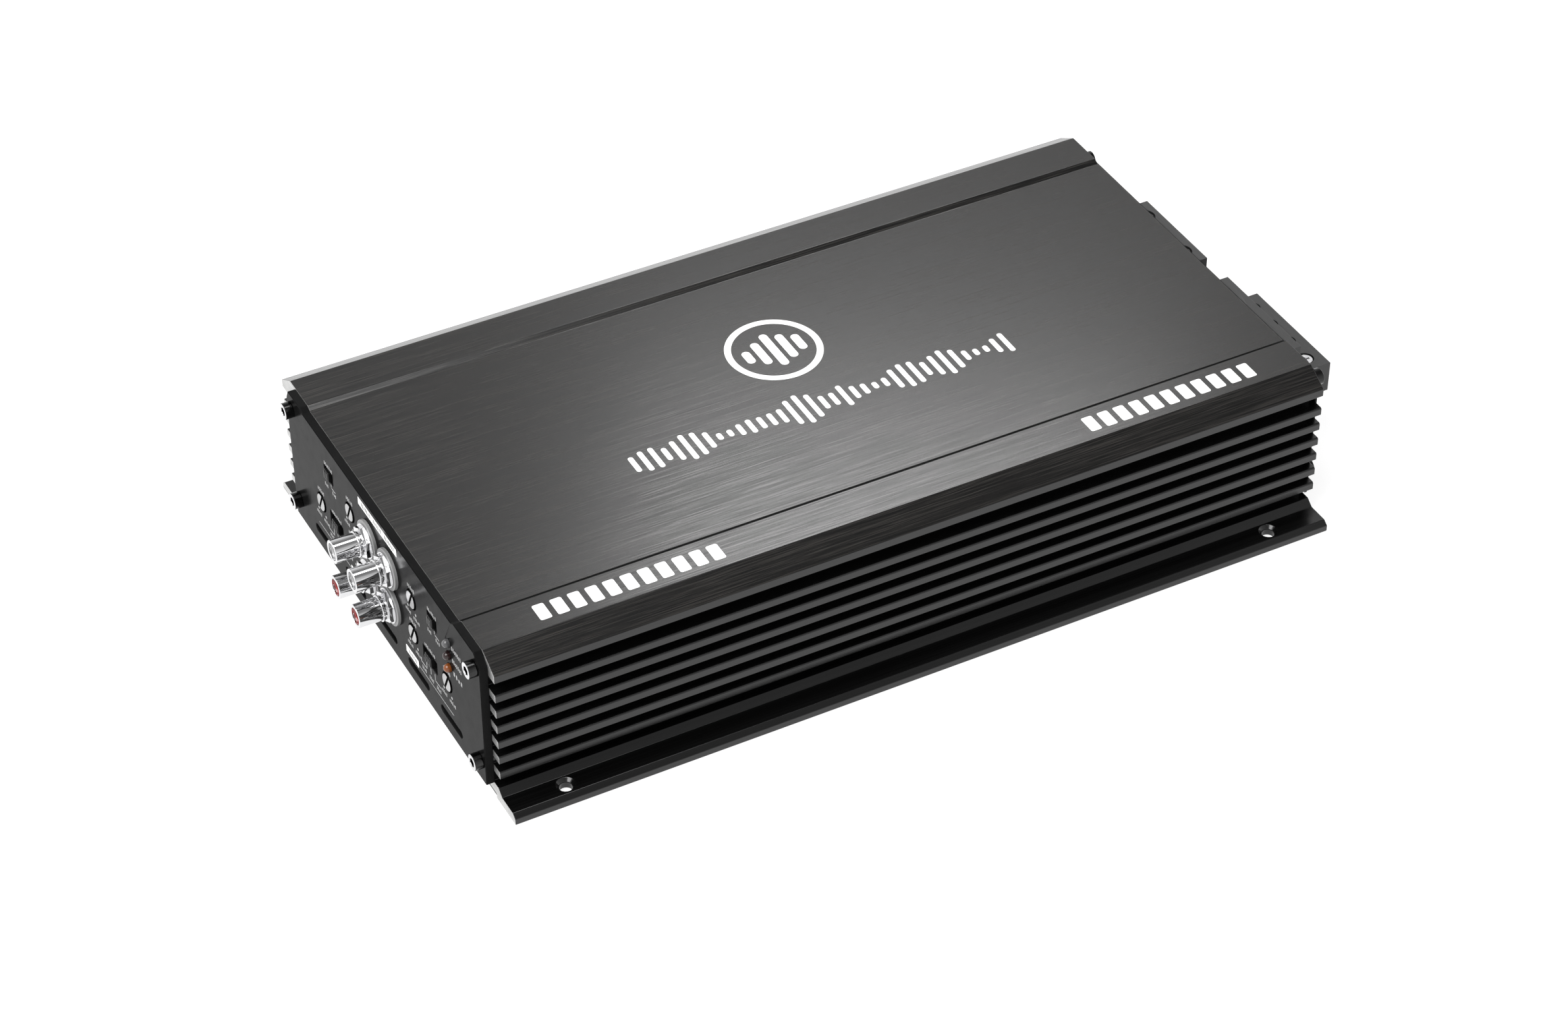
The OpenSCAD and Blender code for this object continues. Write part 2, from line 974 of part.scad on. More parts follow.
module transformer_cores() {
    color([0.3, 0.3, 0.32])
        for (p = transformer_at)
            translate([p[0], p[1], 0])
                rotate_extrude()
                    ring_section(core_r[0], core_r[1], core_z, core_z + core_h);
}

module transformer_windings() {
    color([0.7, 0.32, 0.12])
        for (p = transformer_at)
            translate([p[0], p[1], 0])
                rotate_extrude()
                    difference() {
                        ring_section(
                            core_r[0] - winding_t, core_r[1] + winding_t,
                            board_top, core_z + core_h + winding_t
                        );
                        ring_section(core_r[0] - gap, core_r[1] + gap, core_z - gap, core_z + core_h + gap);
                    }
}

module output_inductors() {
    color([0.68, 0.3, 0.12])
        for (p = inductor_at)
            translate([p[0], p[1], 0])
                rotate_extrude()
                    translate([9.5, board_top + 5])
                        circle(r = 5);
}

// An electrolytic capacitor: a can with a crimp groove and a plug at its foot
module capacitor(r, h) {
    crimp = 0.6;
    disc(board_top, board_top + 2, r - crimp);
    disc(board_top + 2, board_top + 3.5, r);
    disc(board_top + 3.5, board_top + 4.5, r - crimp);
    disc(board_top + 4.5, board_top + h, r);
}

module filter_capacitors() {
    color([0.1, 0.12, 0.2]) {
        for (p = rail_capacitor_at)
            translate([p[0], p[1], 0])
                capacitor(9, 30);
        for (p = supply_capacitor_at)
            translate([p[0], p[1], 0])
                capacitor(8, 25);
    }
}

// ---- transistors clamped to the side walls ----

// A power transistor, its tab against the insulating pad on the +Y wall
module transistor(x) {
    wall = cavity_y - pad_t;
    body_half = 5;
    leg_pitch = 2.54;
    leg_bend_y = board_y - 4;
    box([x - body_half, wall - tab_t, transistor_z], [x + body_half, wall, transistor_z + 15.5]);
    box([x - body_half, wall - package_t, transistor_z], [x + body_half, wall - tab_t, transistor_z + 9.5]);
    for (k = [-1 : 1]) {
        leg_x = x + k * leg_pitch;
        box(
            [leg_x - 0.4, leg_bend_y, transistor_z + 1],
            [leg_x + 0.4, wall - package_t, transistor_z + 1.6]
        );
        box([leg_x - 0.4, leg_bend_y, board_top], [leg_x + 0.4, leg_bend_y + 0.6, transistor_z + 1.6]);
    }
}

module power_transistors() {
    color([0.15, 0.15, 0.16])
        both_sides()
            for (x = transistor_x)
                transistor(x);
}

module insulator_pads() {
    color([0.6, 0.6, 0.62])
        both_sides()
            difference() {
                box([-clamp_half_l, cavity_y - pad_t, transistor_z], [clamp_half_l, cavity_y, 35]);
                clamp_holes(m3_clear_r);
            }
}

module clamp_holes(r) {
    for (x = clamp_screw_x)
        translate([x, 0, clamp_screw_z])
            rotate([-90, 0, 0])
                cylinder(h = root_y, r = r);
}

module clamp_bars() {
    inner = cavity_y - pad_t - package_t;
    color([0.55, 0.56, 0.58])
        both_sides()
            difference() {
                box([-clamp_half_l, inner - clamp_t, clamp_z[0]], [clamp_half_l, inner, clamp_z[1]]);
                clamp_holes(m3_clear_r);
            }
}

module clamp_screws() {
    inner = cavity_y - pad_t - package_t - clamp_t;
    color([0.7, 0.7, 0.72])
        both_sides()
            for (x = clamp_screw_x)
                translate([x, inner, clamp_screw_z])
                    rotate([90, 0, 0])
                        cap_screw(root_y - inner - 2);
}

// ---- nodes ----

heatsink_body();
bottom_cover();
cover_screws();
input_end_plate();
terminal_end_plate();
input_plate_screws();
terminal_plate_screws();
rca_shell(0);  // rca_shell_1
rca_shell(1);  // rca_shell_2
rca_shell(2);  // rca_shell_3
rca_shell(3);  // rca_shell_4
rca_insulators_white();
rca_insulators_red();
rca_contacts();
rca_washers();
rca_nuts();
trimmer_shaft(0);  // trimmer_shaft_1
trimmer_shaft(1);  // trimmer_shaft_2
trimmer_shaft(2);  // trimmer_shaft_3
trimmer_shaft(3);  // trimmer_shaft_4
trimmer_shaft(4);  // trimmer_shaft_5
trimmer_shaft(5);  // trimmer_shaft_6
trimmer_bodies();
slide_knob(0);  // slide_knob_1
slide_knob(1);  // slide_knob_2
slide_knob(2);  // slide_knob_3
slide_knob(3);  // slide_knob_4
slide_switch_bodies();
power_lamp();
protect_lamp();
clip_lamp();
speaker_terminal_block();
speaker_wire_clamps();
speaker_screw(0);  // speaker_screw_1
speaker_screw(1);  // speaker_screw_2
speaker_screw(2);  // speaker_screw_3
speaker_screw(3);  // speaker_screw_4
speaker_screw(4);  // speaker_screw_5
speaker_screw(5);  // speaker_screw_6
speaker_screw(6);  // speaker_screw_7
speaker_screw(7);  // speaker_screw_8
power_terminal_block();
power_lugs();
remote_wire_clamp();
power_screw(0);  // power_screw_1
power_screw(1);  // power_screw_2
remote_screw();
main_board();
board_standoffs();
board_screws();
input_board();
board_connector();
transformer_cores();
transformer_windings();
output_inductors();
filter_capacitors();
power_transistors();
insulator_pads();
clamp_bars();
clamp_screws();
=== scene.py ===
import json
import math
import random

import bmesh
import bpy
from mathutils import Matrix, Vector


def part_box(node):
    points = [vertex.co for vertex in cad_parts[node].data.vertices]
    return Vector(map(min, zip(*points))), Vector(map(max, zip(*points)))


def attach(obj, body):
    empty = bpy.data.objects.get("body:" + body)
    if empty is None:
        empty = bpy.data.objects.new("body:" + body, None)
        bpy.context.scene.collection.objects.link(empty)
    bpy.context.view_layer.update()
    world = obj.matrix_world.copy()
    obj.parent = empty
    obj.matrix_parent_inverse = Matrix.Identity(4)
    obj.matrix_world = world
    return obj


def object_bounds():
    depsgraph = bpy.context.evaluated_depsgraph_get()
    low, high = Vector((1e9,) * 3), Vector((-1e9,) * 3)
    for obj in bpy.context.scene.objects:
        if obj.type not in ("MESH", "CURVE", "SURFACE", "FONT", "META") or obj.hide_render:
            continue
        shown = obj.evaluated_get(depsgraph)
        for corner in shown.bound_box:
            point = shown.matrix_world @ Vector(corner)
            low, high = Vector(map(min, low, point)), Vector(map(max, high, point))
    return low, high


MM = 0.001
ROOT = "amplifier"

CAMERA_PLACE = (-0.50256, -0.92776, 0.87039)
CAMERA_TILT = 50.50
CAMERA_TURN = -28.11
LENS_MM = 89.41

# Brightness of the surroundings, from the horizon and all below it (0) to the zenith (1)
WORLD_LEVELS = (
    (0.35, 1.0), (0.5, 0.79), (0.57, 0.64), (0.6, 0.62), (0.65, 0.69), (0.78, 0.37), (0.88, 0.245),
)
HORIZON_LEVEL = 1.0
ZENITH_LEVEL = 0.24
FLOOR_HALF = 12
FLOOR_LEVEL = -0.0002

# Millimetres: the top panel below the two rails, and where each print starts from its surface
PANEL_DROP = 1.11
RAIL_PRINT_START = -0.045
PLATE_PRINT_START = 0.005
STRIP_PRINT_START = 0.035

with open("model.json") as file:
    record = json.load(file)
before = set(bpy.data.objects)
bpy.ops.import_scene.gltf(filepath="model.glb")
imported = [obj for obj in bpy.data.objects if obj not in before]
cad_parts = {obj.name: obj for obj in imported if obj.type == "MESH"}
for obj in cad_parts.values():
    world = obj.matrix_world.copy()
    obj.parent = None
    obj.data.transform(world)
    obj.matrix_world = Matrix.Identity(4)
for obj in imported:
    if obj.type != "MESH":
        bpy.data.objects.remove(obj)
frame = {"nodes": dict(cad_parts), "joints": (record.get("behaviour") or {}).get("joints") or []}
nodes = frame["nodes"]
cad_low, cad_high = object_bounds()
scene = bpy.context.scene


# ---------------------------------------------------------------- camera and light

def make_camera():
    data = bpy.data.cameras.new("camera")
    data.lens = LENS_MM
    data.sensor_width = 36.0
    data.clip_start = 0.05
    data.clip_end = 60.0
    camera = bpy.data.objects.new("camera", data)
    camera.location = CAMERA_PLACE
    camera.rotation_euler = (math.radians(CAMERA_TILT), 0.0, math.radians(CAMERA_TURN))
    scene.collection.objects.link(camera)
    scene.camera = camera


def area_light(name, place, size, power, aim=(0, 0, 0.04), size_y=None):
    """A soft box at place, facing aim. It is square unless size_y is given."""
    away = (Vector(place) - Vector(aim)).normalized()
    data = bpy.data.lights.new(name, "AREA")
    data.shape = "RECTANGLE"
    data.size = size
    data.size_y = size_y or size
    data.energy = power
    light = bpy.data.objects.new(name, data)
    light.location = place
    light.rotation_mode = "QUATERNION"
    light.rotation_quaternion = away.to_track_quat("Z", "Y")
    scene.collection.objects.link(light)
    return light


def make_world():
    """White up to 20 degrees above the horizon, and darker from there to the zenith."""
    world = bpy.data.worlds.new("studio")
    scene.world = world
    world.use_nodes = True
    tree = world.node_tree
    tree.nodes.clear()
    out = tree.nodes.new("ShaderNodeOutputWorld")
    background = tree.nodes.new("ShaderNodeBackground")
    coords = tree.nodes.new("ShaderNodeTexCoord")
    split = tree.nodes.new("ShaderNodeSeparateXYZ")
    ramp = tree.nodes.new("ShaderNodeValToRGB")
    tree.links.new(coords.outputs["Generated"], split.inputs[0])
    tree.links.new(split.outputs["Z"], ramp.inputs["Fac"])
    tree.links.new(ramp.outputs["Color"], background.inputs["Color"])
    tree.links.new(background.outputs[0], out.inputs["Surface"])
    elements = ramp.color_ramp.elements
    elements[0].position = 0.0
    elements[0].color = (HORIZON_LEVEL, HORIZON_LEVEL, HORIZON_LEVEL, 1)
    elements[1].position = 1.0
    elements[1].color = (ZENITH_LEVEL, ZENITH_LEVEL, ZENITH_LEVEL, 1)
    for position, level in WORLD_LEVELS:
        step = elements.new(position)
        step.color = (level, level, level, 1)
    background.inputs["Strength"].default_value = 1.0


# ---------------------------------------------------------------- material building blocks

class Shader:
    """A small helper around one material's node tree."""

    def __init__(self, name):
        self.material = bpy.data.materials.new(name)
        self.material.use_nodes = True
        self.tree = self.material.node_tree
        self.tree.nodes.clear()
        self.out = self.tree.nodes.new("ShaderNodeOutputMaterial")
        self.main = self.tree.nodes.new("ShaderNodeBsdfPrincipled")
        self.tree.links.new(self.main.outputs[0], self.out.inputs["Surface"])
        self.coords = self.tree.nodes.new("ShaderNodeTexCoord").outputs["Object"]

    def node(self, kind, links=(), **values):
        made = self.tree.nodes.new(kind)
        for key, value in values.items():
            setattr(made, key, value)
        for socket, source in dict(links).items():
            if isinstance(source, (int, float, tuple)):
                made.inputs[socket].default_value = source
            else:
                self.tree.links.new(source, made.inputs[socket])
        return made

    def set(self, **values):
        for key, value in values.items():
            socket = self.main.inputs[key.replace("_", " ")]
            if isinstance(value, (int, float, tuple)):
                socket.default_value = value
            else:
                self.tree.links.new(value, socket)
        return self

    def stretched(self, scale, source=None):
        return self.node("ShaderNodeMapping", {"Vector": source or self.coords, "Scale": scale}).outputs[0]

    def noise(self, scale, detail=3.0, rough=0.55, vector=None):
        made = self.node("ShaderNodeTexNoise", {"Vector": vector or self.coords, "Scale": scale,
                                                "Detail": detail, "Roughness": rough})
        return made.outputs["Fac"]

    def cells(self, scale, feature="F1", vector=None):
        links = {"Vector": vector or self.coords, "Scale": scale}
        return self.node("ShaderNodeTexVoronoi", links, feature=feature).outputs["Distance"]

    def math(self, operation, a, b=0.0, clamp=False):
        made = self.node("ShaderNodeMath", {0: a, 1: b}, operation=operation)
        made.use_clamp = clamp
        return made.outputs[0]

    def span(self, value, low, high, out_low, out_high):
        made = self.node("ShaderNodeMapRange", {"Value": value, "From Min": low, "From Max": high,
                                                "To Min": out_low, "To Max": out_high})
        return made.outputs[0]

    def tint(self, value, low, high, at=(0.3, 0.7)):
        made = self.node("ShaderNodeValToRGB", {"Fac": value})
        ends = made.color_ramp.elements
        ends[0].position, ends[1].position = at
        ends[0].color = (*low, 1.0)
        ends[1].color = (*high, 1.0)
        return made.outputs["Color"]

    def mix(self, factor, a, b):
        made = self.node("ShaderNodeMix", data_type="RGBA")
        for index, value in ((0, factor), (6, a), (7, b)):
            if isinstance(value, (int, float, tuple)):
                made.inputs[index].default_value = value if index == 0 else (*value, 1.0)
            else:
                self.tree.links.new(value, made.inputs[index])
        return made.outputs[2]

    def bump(self, height, depth, strength=1.0, below=None):
        links = {"Height": height, "Distance": depth, "Strength": strength}
        if below is not None:
            links["Normal"] = below
        made = self.node("ShaderNodeBump", links)
        self.tree.links.new(made.outputs[0], self.main.inputs["Normal"])
        return made.outputs[0]

    def edges(self, radius):
        """Brighter where the surface is a convex edge, for worn corners."""
        bevel = self.node("ShaderNodeBevel", {"Radius": radius}, samples=4)
        geometry = self.node("ShaderNodeNewGeometry")
        dot = self.node("ShaderNodeVectorMath", {0: bevel.outputs[0], 1: geometry.outputs["Normal"]},
                        operation="DOT_PRODUCT")
        return self.span(dot.outputs["Value"], 0.999, 0.93, 0.0, 1.0)


def brushed_black():
    """Black anodised aluminium, brushed along X."""
    s = Shader("anodised_brushed_black")
    long_marks = s.noise(1.0, 2, 0.6, s.stretched((22, 2000, 2000)))
    fine_marks = s.noise(1.0, 2, 0.6, s.stretched((70, 4300, 4300)))
    grain = s.math("ADD", s.math("MULTIPLY", long_marks, 0.5), s.math("MULTIPLY", fine_marks, 0.5))
    cloud = s.noise(7, 3, 0.5)
    colour = s.tint(grain, (0.0005, 0.0005, 0.0005), (0.030, 0.028, 0.026), (0.44, 0.64))
    colour = s.mix(s.span(cloud, 0.35, 0.65, 0.0, 0.25), colour, (0.007, 0.0063, 0.0057))
    s.set(Base_Color=colour, Roughness=s.span(grain, 0.42, 0.6, 0.25, 0.16))
    s.main.inputs["IOR"].default_value = 1.47
    s.main.inputs["Anisotropic"].default_value = 0.12
    tangent = s.node("ShaderNodeCombineXYZ", {"X": 0.0, "Y": 1.0, "Z": 0.0})
    s.tree.links.new(tangent.outputs[0], s.main.inputs["Tangent"])
    s.bump(grain, 0.00001, 0.5)
    return s.material


def extruded_black():
    """Black anodised aluminium as it left the die: faint lines along X."""
    s = Shader("anodised_extruded_black")
    lines = s.noise(1.0, 3, 0.6, s.stretched((2.5, 1500, 1500)))
    dust = s.noise(900, 2, 0.5)
    cloud = s.noise(12, 3, 0.5)
    colour = s.tint(lines, (0.0012, 0.0012, 0.0012), (0.0030, 0.0030, 0.0030), (0.35, 0.65))
    rub = s.math("MULTIPLY", s.edges(0.0006), s.span(s.noise(260, 3, 0.6), 0.5, 0.8, 0.0, 0.35))
    colour = s.mix(rub, colour, (0.05, 0.05, 0.05))
    s.set(Base_Color=colour, Roughness=s.span(cloud, 0.3, 0.7, 0.14, 0.22))
    s.main.inputs["IOR"].default_value = 1.54
    below = s.bump(lines, 0.00002, 0.35)
    s.bump(dust, 0.00001, 0.25, below)
    return s.material


def sawn_aluminium():
    """The bare sawn ends of the extrusion."""
    s = Shader("sawn_aluminium")
    saw = s.noise(1.0, 3, 0.7, s.stretched((400, 60, 2600)))
    patch = s.noise(300, 3, 0.6)
    colour = s.tint(saw, (0.40, 0.40, 0.40), (0.60, 0.60, 0.59), (0.35, 0.65))
    s.set(Base_Color=colour, Roughness=s.span(patch, 0.3, 0.7, 0.32, 0.5), Metallic=0.9)
    s.bump(saw, 0.00004, 0.6)
    return s.material


def painted(name, low, high, roughness, grain_scale=1500, depth=0.00003, wear=0.15, ior=1.5):
    """Powder-coated sheet with a fine orange-peel grain and rubbed edges."""
    s = Shader(name)
    peel = s.noise(grain_scale, 2, 0.5)
    wide = s.noise(grain_scale / 7, 2, 0.5)
    cloud = s.noise(25, 3, 0.6)
    colour = s.tint(cloud, low, high, (0.3, 0.7))
    rub = s.math("MULTIPLY", s.edges(0.0004), s.span(s.noise(420, 3, 0.6), 0.5, 0.8, 0.0, wear))
    colour = s.mix(rub, colour, (0.12, 0.12, 0.12))
    s.set(Base_Color=colour, Roughness=s.span(wide, 0.3, 0.7, roughness - 0.05, roughness + 0.06))
    s.main.inputs["IOR"].default_value = ior
    below = s.bump(peel, depth, 0.5)
    s.bump(wide, depth * 1.5, 0.25, below)
    return s.material


def plated(name, low, high, roughness, spread=0.06, grain=700, depth=0.00001, metallic=1.0):
    """Plated or turned metal with faint handling marks."""
    s = Shader(name)
    cloud = s.noise(120, 3, 0.6)
    marks = s.noise(1.0, 3, 0.7, s.stretched((grain, grain, grain * 3)))
    colour = s.tint(cloud, low, high, (0.3, 0.7))
    s.set(Base_Color=colour, Metallic=metallic,
          Roughness=s.span(marks, 0.3, 0.7, max(0.03, roughness - spread), roughness + spread))
    s.bump(marks, depth, 0.3)
    return s.material


def moulded(name, low, high, roughness, grain=1400, depth=0.00003, coat=0.0):
    """Moulded plastic with a fine spark-eroded texture and slight flow marks."""
    s = Shader(name)
    spark = s.noise(grain, 3, 0.6)
    flow = s.noise(1.0, 3, 0.5, s.stretched((60, 60, 180)))
    colour = s.tint(flow, low, high, (0.35, 0.65))
    rub = s.math("MULTIPLY", s.edges(0.0003), 0.22)
    colour = s.mix(rub, colour, tuple(min(1.0, c * 2.5 + 0.04) for c in high))
    s.set(Base_Color=colour, Roughness=s.span(flow, 0.3, 0.7, roughness - 0.05, roughness + 0.07))
    s.main.inputs["Coat Weight"].default_value = coat
    s.bump(spark, depth, 0.5)
    return s.material


def lens(name, low, high, transmission):
    s = Shader(name)
    swirl = s.noise(500, 2, 0.5)
    s.set(Base_Color=s.tint(swirl, low, high, (0.3, 0.7)), Roughness=s.span(swirl, 0.3, 0.7, 0.06, 0.14))
    s.main.inputs["Transmission Weight"].default_value = transmission
    s.main.inputs["IOR"].default_value = 1.49
    s.bump(swirl, 0.00001, 0.2)
    return s.material


def ink(name, low, high, rough=0.5, relief=0.00001):
    """Screen-printed ink: slightly uneven cover and a broken, matt surface."""
    s = Shader(name)
    cover = s.noise(1800, 3, 0.65)
    s.set(Base_Color=s.tint(cover, low, high, (0.25, 0.6)),
          Roughness=s.span(cover, 0.3, 0.7, rough - 0.08, rough + 0.1))
    s.bump(cover, relief, 0.5)
    return s.material


def circuit_board():
    s = Shader("circuit_board")
    lanes = s.cells(160, vector=s.stretched((1, 2, 1)))
    weave = s.noise(1.0, 2, 0.5, s.stretched((900, 900, 900)))
    colour = s.tint(lanes, (0.02, 0.16, 0.07), (0.012, 0.09, 0.045), (0.42, 0.5))
    s.set(Base_Color=colour, Roughness=s.span(weave, 0.3, 0.7, 0.25, 0.4))
    s.bump(lanes, 0.00003, 0.3)
    return s.material


def wound_copper():
    s = Shader("wound_copper")
    links = {"Vector": s.coords, "Scale": 260.0, "Distortion": 1.5, "Detail": 1.0}
    turns = s.node("ShaderNodeTexWave", links, wave_type="BANDS", bands_direction="DIAGONAL").outputs["Fac"]
    colour = s.tint(turns, (0.25, 0.08, 0.02), (0.72, 0.30, 0.10), (0.2, 0.7))
    s.set(Base_Color=colour, Roughness=s.span(turns, 0, 1, 0.5, 0.25), Metallic=0.8)
    s.bump(turns, 0.0003, 0.8)
    return s.material


def gray(level):
    return (level, level, level)


# ---------------------------------------------------------------- CAD nodes

def soften(name, width, segments=2, angle=17, merge=False):
    """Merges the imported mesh's split corners and rounds its hard edges by width, in millimetres.
    With merge, flat faces are joined first, so that no triangle edge shows on a wide one."""
    thing = nodes[name]
    mesh = thing.data
    custom = mesh.attributes.get("custom_normal")
    if custom:
        mesh.attributes.remove(custom)
    mesh.shade_smooth()
    weld = thing.modifiers.new("weld", "WELD")
    weld.merge_threshold = 2e-6
    if merge:
        flat = thing.modifiers.new("flat", "DECIMATE")
        flat.decimate_type = "DISSOLVE"
        flat.angle_limit = math.radians(0.5)
        flat.delimit = {"MATERIAL"}
    bevel = thing.modifiers.new("bevel", "BEVEL")
    bevel.width = width * MM
    bevel.segments = segments
    bevel.limit_method = "ANGLE"
    bevel.angle_limit = math.radians(angle)
    bevel.use_clamp_overlap = False
    bevel.harden_normals = True
    bevel.miter_outer = "MITER_ARC"


def paint(material, *names):
    for name in names:
        mesh = nodes[name].data
        mesh.materials.clear()
        mesh.materials.append(material)


def paint_heatsink():
    """Sawn ends, brushed top faces, a painted shadow on the step behind the front rail, and the die's
    finish elsewhere.
    """
    mesh = nodes["heatsink_body"].data
    mesh.materials.clear()
    groove = painted("groove_shadow", gray(0.002), gray(0.004), 0.7, 900, 0.00001, ior=1.1)
    for material in (extruded_black(), brushed_black(), sawn_aluminium(), groove):
        mesh.materials.append(material)
    top = cad_high.z
    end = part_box("heatsink_body")[1].x
    for face in mesh.polygons:
        normal, centre = face.normal, face.center
        if abs(normal.x) > 0.95 and abs(abs(centre.x) - end) < 0.2 * MM:
            face.material_index = 2
        # Painted shadow: the step face behind the front rail, facing the rear, gets the dull groove_shadow
        # material.
        elif normal.y > 0.3 and centre.y < 0 and centre.z > top - 2 * MM:
            face.material_index = 3
        elif normal.z > 0.3 and centre.z > top - 6 * MM:
            face.material_index = 1


def paint_outer_faces(names, outer, inner, axis=0, depth=0.3):
    """The outermost flat face of each piece along the axis, and the rest in another material."""
    for name in names:
        mesh = nodes[name].data
        mesh.materials.clear()
        mesh.materials.append(inner)
        mesh.materials.append(outer)
        reach = max(abs(v.co[axis]) for v in mesh.vertices) - depth * MM
        for face in mesh.polygons:
            if abs(face.normal[axis]) > 0.9 and abs(face.center[axis]) > reach:
                face.material_index = 1


# ---------------------------------------------------------------- printed marks

def flat_piece(name, outlines, place, thickness, material, body=ROOT):
    """Thin raised print. Each outline is a closed list of (u, v) in millimetres, and
    place(u, v, height) puts a point in the frame."""
    bm = bmesh.new()
    for outline in outlines:
        upper = [bm.verts.new(place(u, v, thickness)) for u, v in outline]
        lower = [bm.verts.new(place(u, v, 0.0)) for u, v in outline]
        bm.faces.new(upper)
        bm.faces.new(list(reversed(lower)))
        count = len(outline)
        for k in range(count):
            bm.faces.new((upper[(k + 1) % count], upper[k], lower[k], lower[(k + 1) % count]))
    bmesh.ops.recalc_face_normals(bm, faces=bm.faces)
    mesh = bpy.data.meshes.new(name)
    bm.to_mesh(mesh)
    bm.free()
    mesh.materials.append(material)
    piece = bpy.data.objects.new(name, mesh)
    scene.collection.objects.link(piece)
    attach(piece, body)
    return piece


def rect(u0, u1, v0, v1):
    return [(u0, v0), (u1, v0), (u1, v1), (u0, v1)]


def round_rect(u0, u1, v0, v1, r, steps=6):
    points = []
    corners = ((u1 - r, v0 + r, -90), (u1 - r, v1 - r, 0), (u0 + r, v1 - r, 90), (u0 + r, v0 + r, 180))
    for cu, cv, start in corners:
        for k in range(steps + 1):
            a = math.radians(start + 90 * k / steps)
            points.append((cu + r * math.cos(a), cv + r * math.sin(a)))
    return points


def ring(cu, cv, r_out, r_in, steps=96):
    """A ring as quads, so that each is a simple outline."""
    parts = []
    for k in range(steps):
        a, b = 2 * math.pi * k / steps, 2 * math.pi * (k + 1) / steps
        parts.append([(cu + r_in * math.cos(a), cv + r_in * math.sin(a)),
                      (cu + r_out * math.cos(a), cv + r_out * math.sin(a)),
                      (cu + r_out * math.cos(b), cv + r_out * math.sin(b)),
                      (cu + r_in * math.cos(b), cv + r_in * math.sin(b))])
    return parts


def disc(cu, cv, r, steps=28):
    return [(cu + r * math.cos(2 * math.pi * k / steps), cv + r * math.sin(2 * math.pi * k / steps))
            for k in range(steps)]


# ---------------------------------------------------------------- the scene

def main():
    make_camera()
    make_world()
    make_floor()
    make_lights()
    dress_all()
    prints_on_top()
    prints_on_plate()


def make_floor():
    s = Shader("floor")
    grain = s.noise(60, 3, 0.5)
    s.set(Base_Color=s.tint(grain, gray(0.29), gray(0.31)), Roughness=s.span(grain, 0, 1, 0.8, 0.95))
    s.main.inputs["Specular IOR Level"].default_value = 0.1
    s.main.inputs["Emission Color"].default_value = (1, 1, 1, 1)
    s.main.inputs["Emission Strength"].default_value = 0.8
    mesh = bpy.data.meshes.new("floor")
    signs = ((-1, -1), (1, -1), (1, 1), (-1, 1))
    corners = [(x * FLOOR_HALF, y * FLOOR_HALF, FLOOR_LEVEL) for x, y in signs]
    mesh.from_pydata(corners, [], [(0, 1, 2, 3)])
    mesh.materials.append(s.material)
    floor = bpy.data.objects.new("floor", mesh)
    scene.collection.objects.link(floor)


def make_lights():
    """The sheen is the highlight on the top, the top light shows in the rear rail's slope, the fill lifts
    the printed whites."""
    area_light("sheen", (0.715, 1.13, 1.38), 0.44, 4.3, aim=(-0.04, -0.14, 0.06), size_y=0.36)
    area_light("top", (0.30, -0.05, 2.0), 0.55, 4.0, size_y=0.5)
    area_light("fill", (-1.7, -0.3, 2.6), 2.4, 130)


def numbered(stem, count):
    return [f"{stem}_{k}" for k in range(1, count + 1)]


def dress(material, names, width, segments=2):
    """Paints the nodes and rounds their edges by width, in millimetres."""
    paint(material, *names)
    for name in names:
        soften(name, width, segments)


def dress_all():
    zinc = plated("bright_zinc", (0.60, 0.60, 0.61), (0.72, 0.72, 0.73), 0.2, 0.04, 400, 0.000003)
    block = moulded("block_plastic", gray(0.010), gray(0.018), 0.38)
    brass = plated("plated_brass", (0.62, 0.45, 0.18), (0.78, 0.60, 0.30), 0.25)
    dress_case()
    dress_fasteners(zinc)
    dress_sockets()
    dress_controls()
    dress_terminals(zinc, block, brass)
    dress_inside(block, brass)


def dress_case():
    paint_heatsink()
    soften("heatsink_body", 0.22, merge=True)
    paint(painted("cover_paint", gray(0.012), gray(0.018), 0.42, 1100, 0.00005), "bottom_cover")
    soften("bottom_cover", 0.2, merge=True)
    flat = painted("plate_paint", gray(0.003), gray(0.005), 0.2, 1500, 0.000002, ior=1.08)
    rim = painted("plate_rim", gray(0.003), gray(0.006), 0.5, ior=1.15)
    for name, width, segments in (("input_end_plate", 0.35, 3), ("terminal_end_plate", 0.2, 2)):
        paint(flat, name)
        mesh = nodes[name].data
        mesh.materials.append(rim)
        for face in mesh.polygons:
            face.material_index = 0 if abs(face.normal.x) > 0.5 else 1
        soften(name, width, segments, merge=True)


def dress_fasteners(zinc):
    """Zinc screws, and black ones in the cover. The cap screws have a bright zinc end, and their sides are
    painted dark as a painted reflection of dark surroundings.
    """
    black_zinc_and_dark_reflection = plated("black_zinc_and_dark_reflection", gray(0.03), gray(0.05), 0.16, 0.04, 400, 0.000002)
    heads = [n for n in nodes if n.endswith("plate_screws")]
    # The cap screw heads' sides take the black zinc as a painted dark reflection; the cover screws are
    # black zinc.
    paint_outer_faces(heads, zinc, black_zinc_and_dark_reflection)
    for name in heads:
        soften(name, 0.2, 3)
    dress(zinc, ("board_screws", "clamp_screws", "clamp_bars"), 0.2, 3)
    dress(black_zinc_and_dark_reflection, ("cover_screws",), 0.1)


